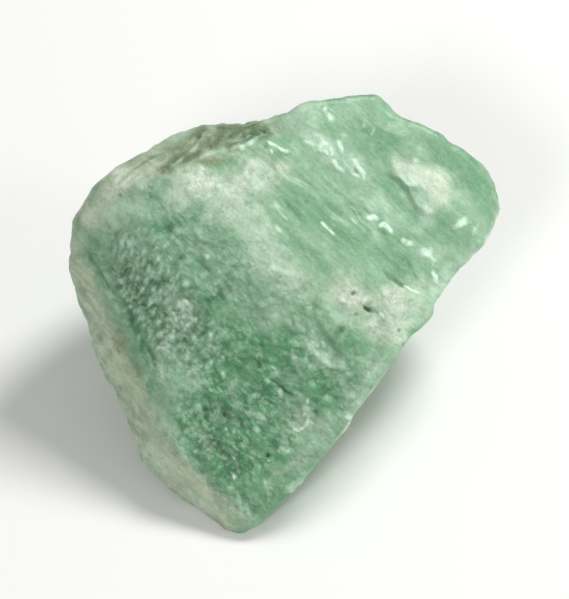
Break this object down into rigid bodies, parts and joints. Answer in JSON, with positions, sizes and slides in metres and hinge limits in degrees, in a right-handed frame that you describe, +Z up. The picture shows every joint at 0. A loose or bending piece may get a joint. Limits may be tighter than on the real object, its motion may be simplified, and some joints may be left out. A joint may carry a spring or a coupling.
{
  "type": "raw green aventurine stone",
  "caption": "Rough broken block of pale to mid green aventurine with broad fracture faces, chipped edges and a flat underside to rest on.",
  "frame": {"origin": "middle of the block's box, at the level of the flat face it rests on", "axes": "+X along the longest extent, to the right as seen from the broad faces; +Y away from the viewer of the broad faces; +Z up, the shortest extent"},
  "size_m": [0.04, 0.0348, 0.0268],
  "materials": {
    "aventurine": "satin"
  },
  "bodies": {
    "root": {"aventurine_block": "aventurine"}
  },
  "joints": []
}
